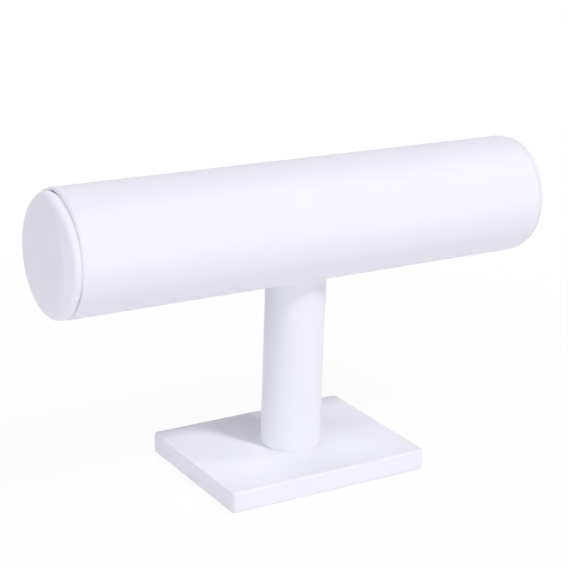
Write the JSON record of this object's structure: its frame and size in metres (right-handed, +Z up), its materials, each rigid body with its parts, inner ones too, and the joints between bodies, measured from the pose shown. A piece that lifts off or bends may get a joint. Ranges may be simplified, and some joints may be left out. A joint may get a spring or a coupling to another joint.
{
  "type": "bracelet display stand",
  "caption": "Horizontal padded bar on a round post with a rectangular base, wrapped in white leatherette, for showing bracelets on a counter.",
  "frame": {"origin": "on the post's axis, under the middle of the bar, on the surface the stand rests on", "axes": "+X along the bar to its right end seen from the front, +Y from front to back, +Z up"},
  "size_m": [0.2542, 0.0782, 0.1493],
  "materials": {
    "leatherette": "fine grain, soft sheen",
    "tube_paper": "kraft, wound",
    "greyboard": "matt",
    "foam": "open cell, matt",
    "softwood": "sawn",
    "fibreboard": "sawn, matt",
    "lining_cloth": "short nap",
    "screw_steel": "zinc plated"
  },
  "bodies": {
    "root": {"bar_tube": "tube_paper", "bar_cover": "leatherette", "bar_block": "softwood", "bar_screws": "screw_steel", "left_cap_board": "greyboard", "left_cap_pad": "foam", "left_cap_cover": "leatherette", "right_cap_board": "greyboard", "right_cap_pad": "foam", "right_cap_cover": "leatherette", "post_tube": "tube_paper", "post_cover": "leatherette", "post_top_plug": "softwood", "post_bottom_plug": "softwood", "base_board": "fibreboard", "base_cover": "leatherette", "base_lining": "lining_cloth", "base_screws": "screw_steel"}
  },
  "joints": []
}
